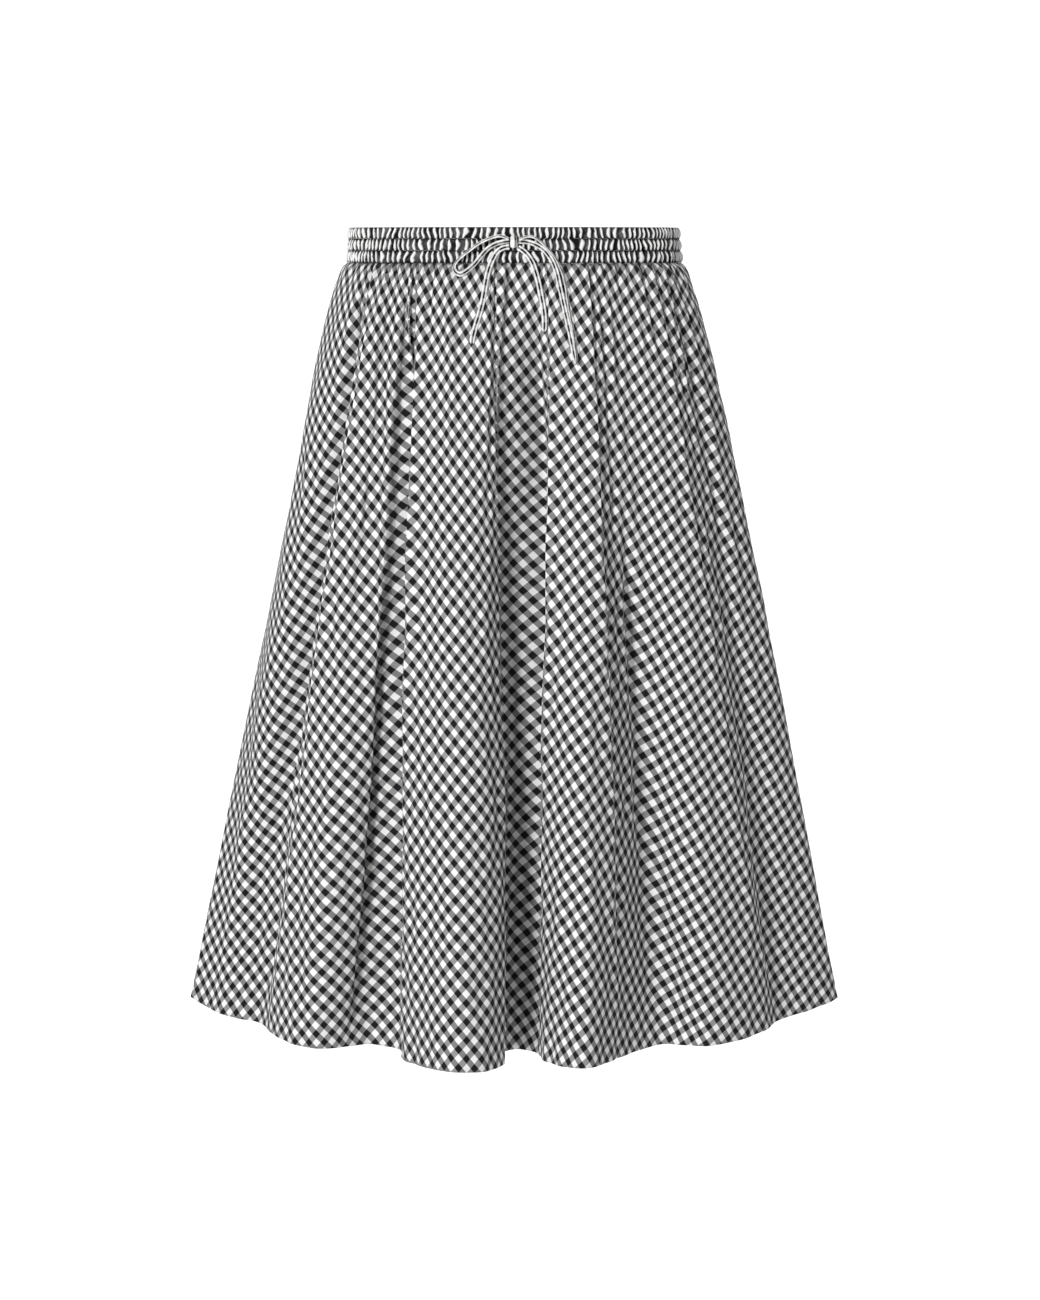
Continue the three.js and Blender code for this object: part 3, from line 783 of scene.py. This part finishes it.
def waistband():
    columns = BAND_GATHERS * BAND_STEPS
    turn = np.arange(columns + 1) / columns
    heights = np.linspace(BAND_HEIGHT / 2, -BAND_HEIGHT / 2, BAND_ROWS)
    height, share = np.meshgrid(heights, turn, indexing="ij")
    place = (BAND_HEIGHT / 2 - height) / BAND_HEIGHT * CHANNELS
    puffed = np.abs(np.sin(np.pi * place)) ** PUFF_ROUNDNESS
    count = gather_at(share, place)
    turns = 2 * np.pi * share
    uneven = 1 + GATHER_UNEVEN * np.sin(13 * turns + 2 * place) * np.sin(29 * turns)
    wide, deep = band_size(height)
    point, outward = waist_at(bearing_at(share), wide, deep)
    ridge = GATHER_DEPTH * np.cos(2 * np.pi * count) * uneven * (0.8 + 0.2 * puffed)
    stand = PUFF * puffed + ridge - (GATHER_DEPTH - BAND_RIDGE)
    outer = np.concatenate((point + outward * stand[..., None], height[..., None]), -1)
    in_heights = np.linspace(BAND_HEIGHT / 2, -BAND_HEIGHT / 2, BAND_ROWS_INSIDE)
    in_height, in_share = np.meshgrid(in_heights, turn, indexing="ij")
    wide, deep = band_size(in_height)
    point, outward = waist_at(bearing_at(in_share), wide, deep)
    in_place = (BAND_HEIGHT / 2 - in_height) / BAND_HEIGHT * CHANNELS
    in_ridge = GATHER_DEPTH * np.cos(2 * np.pi * gather_at(in_share, in_place))
    soft = -BAND_BACKING - (GATHER_DEPTH - BAND_RIDGE) + 0.9 * in_ridge
    inner = np.concatenate((point + outward * soft[..., None], in_height[..., None]), -1)
    # One check repeat for each gather and for each channel
    flat = np.stack((count, place), -1) * CHECK_REPEAT
    flat_inside = np.stack((gather_at(in_share, in_place), in_place), -1) * CHECK_REPEAT
    piece = shell("waistband_cloth", outer[:, :-1], inner[:, :-1], flat, True, flat_inside)
    piece.data.materials.append(band_gingham())
    return piece


band = waistband()


# Depth of the front under the drawstring, as in the solids
SIGHT_COLUMNS = 400


def front_depth(across, up):
    if up > PANEL_TOP:
        wide, deep = band_size(up)
        return -(deep + PUFF + BAND_RIDGE) * math.sqrt(1 - (across / wide) ** 2)
    down = (PANEL_TOP - up) / CLOTH_LENGTH
    length = np.linspace(0, FRONT_HEM, SIGHT_COLUMNS + 1)
    points = skirt_point(length, np.full_like(length, down))
    for last, following in zip(points[:-1], points[1:]):
        if last[0] <= across < following[0]:
            share = (across - last[0]) / (following[0] - last[0])
            return last[1] + share * (following[1] - last[1])
    return points[-1, 1]


def route_points(route):
    places = []
    for across, up, off in route:
        across, up, off = across * MM, up * MM, off * MM
        places.append((across, front_depth(across, up) - off, up))
    return np.array(places)


TAPE_STEP = 0.0008
TAPE_SIDES = 14
EDGE_SINKS = 0.0014
EDGE_ROUND = 0.6
FACE_ROUND = 0.8
END_WIDTH = 0.35


# Flat tape swept along a route, face to the front where it starts
def tape(name, route, lean=0.0, taper=0.0):
    fine = spline(route_points(route), 24)
    run = lengths_along(fine)
    steps = max(8, round(run[-1] / TAPE_STEP))
    places = np.linspace(0, run[-1], steps + 1)
    line = np.stack([np.interp(places, run, fine[:, k]) for k in range(3)], -1)
    tangent = unit(np.gradient(line, axis=0))
    face = np.array([0.0, -1.0, 0.0])
    rings = []
    flat = []
    angles = 2 * np.pi * np.arange(TAPE_SIDES) / TAPE_SIDES
    line[:, 1] -= max(0, TAPE_WIDTH / 2 * abs(math.sin(lean)) - EDGE_SINKS)
    for centre, way, place in zip(line, tangent, places):
        face = unit(face - way * face.dot(way))
        side = np.cross(way, face)
        turned = face * math.cos(lean) + side * math.sin(lean)
        edge = side * math.cos(lean) - face * math.sin(lean)
        left = run[-1] - place
        narrow = min(1, END_WIDTH + left / taper) if taper else 1
        # A rounded rectangle: flat faces and full edges
        wide = np.sign(np.cos(angles)) * np.abs(np.cos(angles)) ** EDGE_ROUND
        wide = wide * TAPE_WIDTH / 2 * narrow
        deep = np.sign(np.sin(angles)) * np.abs(np.sin(angles)) ** FACE_ROUND * TAPE_THICKNESS / 2
        rings.append(centre + edge * wide[:, None] + turned * deep[:, None])
        flat.append(np.stack((np.full(TAPE_SIDES, place), wide), -1))
    rings = np.array(rings)
    flat = np.array(flat)
    count = len(rings)
    index = np.arange(count * TAPE_SIDES).reshape(count, TAPE_SIDES)
    nxt = np.roll(index, -1, 1)
    faces = np.stack((index[:-1], nxt[:-1], nxt[1:], index[1:]), -1).reshape(-1, 4).tolist()
    faces += [index[0, ::-1].tolist(), index[-1].tolist()]
    mesh = bpy.data.meshes.new(name)
    mesh.from_pydata(rings.reshape(-1, 3).tolist(), [], faces)
    corners = [loop.vertex_index for loop in mesh.loops]
    set_coords(mesh, flat.reshape(-1, 2)[corners])
    mesh.shade_smooth()
    mesh.update()
    piece = add_piece(name, mesh)
    piece.data.materials.append(tape_cloth)
    return piece, line, run[-1]


KNOT_FULLNESS = 0.45
GROOVE_DEPTH = 0.10
GROOVE_WIDTH = 0.22
KNOT_PINCH = 0.08


def knot():
    mesh = bpy.data.meshes.new("bow_knot")
    round_steps = 40
    rise_steps = 26
    vertices = []
    coords = []
    across, up, off = (v * MM for v in KNOT_PLACE)
    centre = np.array([across, front_depth(across, up) - off, up])
    for j in range(1, rise_steps):
        lat = math.pi * j / rise_steps - math.pi / 2
        for i in range(round_steps):
            lon = 2 * math.pi * i / round_steps
            # Pinched at the waist of the wrap, with a groove between its two turns
            ring = abs(math.cos(lat)) ** KNOT_FULLNESS
            groove = 1 - GROOVE_DEPTH * math.exp(-((math.sin(lon + math.pi / 2) / GROOVE_WIDTH) ** 2))
            shape = np.array([math.cos(lon) * ring * groove, math.sin(lon) * ring, math.sin(lat)])
            shape[0] *= 1 - KNOT_PINCH + KNOT_PINCH * abs(math.sin(lat))
            vertices.append(centre + shape * KNOT_SIZE / 2)
            coords.append((0.002 + 0.004 * math.sin(lat), math.cos(lon) * KNOT_SIZE[0] / 2 - 0.0018))
    faces = []
    last = rise_steps - 2
    for j in range(last):
        for i in range(round_steps):
            a = j * round_steps + i
            b = j * round_steps + (i + 1) % round_steps
            faces.append((a, b, b + round_steps, a + round_steps))
    faces.append(tuple(range(round_steps))[::-1])
    faces.append(tuple(last * round_steps + i for i in range(round_steps)))
    mesh.from_pydata([tuple(v) for v in vertices], [], faces)
    set_coords(mesh, np.array([coords[loop.vertex_index] for loop in mesh.loops]))
    mesh.shade_smooth()
    piece = add_piece("bow_knot", mesh)
    piece.data.materials.append(tape_cloth)
    return piece


knot_piece = knot()
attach(knot_piece, "root")
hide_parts("drawstring_knot")

for name, node, route, far_end, lean, taper, on_it in (
    ("bow_loop_left", "drawstring_loop_left", LEFT_LOOP, "object", 1.05, 0, [knot_piece]),
    ("bow_loop_right", "drawstring_loop_right", RIGHT_LOOP, "object", -1.15, 0, []),
    ("bow_end_left", "drawstring_tail_left", LEFT_TAIL, "bare", 0, 0.004, []),
    ("bow_end_right", "drawstring_tail_right", RIGHT_TAIL, "bare", 0, 0.004, []),
):
    piece, line, length = tape(name, route, lean, taper)
    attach(piece, "root")
    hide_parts(node)

# Hang the panels and the waistband from the root and hide the solids they replace
for piece, node in ((front, "front_panel"), (back, "back_panel")):
    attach(piece, "root")
    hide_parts(node)
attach(band, "root")
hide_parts("waistband")

# Floor that runs up into a backdrop, and studio light
FLOOR_HEIGHT = -1.45
CURVE_STEPS = 24
BACKDROP_START = 3.0
BACKDROP_CURVE = 2.5


def studio_floor():
    profile = [(-9.0, FLOOR_HEIGHT), (BACKDROP_START, FLOOR_HEIGHT)]
    for step in range(1, CURVE_STEPS + 1):
        angle = math.pi / 2 * step / CURVE_STEPS
        profile.append(
            (
                BACKDROP_START + BACKDROP_CURVE * math.sin(angle),
                FLOOR_HEIGHT + BACKDROP_CURVE * (1 - math.cos(angle)),
            )
        )
    profile.append((BACKDROP_START + BACKDROP_CURVE, 9.0))
    vertices = [(x, y, z) for y, z in profile for x in (-14, 14)]
    faces = [(2 * k, 2 * k + 1, 2 * k + 3, 2 * k + 2) for k in range(len(profile) - 1)]
    mesh = bpy.data.meshes.new("floor")
    mesh.from_pydata(vertices, [], faces)
    mesh.shade_smooth()
    piece = add_piece("floor", mesh)
    pale, _, shader = node_tree("pale_floor")
    shader.inputs["Base Color"].default_value = (0.92, 0.92, 0.92, 1)
    shader.inputs["Roughness"].default_value = 0.95
    shader.inputs["Specular IOR Level"].default_value = 0
    mesh.materials.append(pale)
    return piece


studio_floor()

world = bpy.data.worlds.new("studio")
bpy.context.scene.world = world
world.use_nodes = True
world.node_tree.nodes["Background"].inputs["Color"].default_value = (1, 1, 1, 1)
world.node_tree.nodes["Background"].inputs["Strength"].default_value = 0.16
bpy.context.scene.view_settings.view_transform = "Standard"


def area_light(name, place, aim, size, power):
    data = bpy.data.lights.new(name, "AREA")
    data.shape = "DISK"
    data.size = size
    data.energy = power
    lamp = bpy.data.objects.new(name, data)
    bpy.context.scene.collection.objects.link(lamp)
    lamp.location = place
    way = np.array(aim, float) - np.array(place, float)
    flat = math.hypot(way[0], way[1])
    lamp.rotation_euler = (math.atan2(flat, -way[2]), 0, math.atan2(-way[0], way[1]))
    return lamp


SKIRT_MIDDLE = (0, 0, -0.4)
area_light("key", (-1.50, -2.90, 0.7), SKIRT_MIDDLE, 0.7, 116)
area_light("right_fill", (2.4, -2.2, 0.1), SKIRT_MIDDLE, 1.2, 17)
area_light("backdrop_light", (0, 1.6, 3.2), (0, 5.0, 0), 4.0, 260)
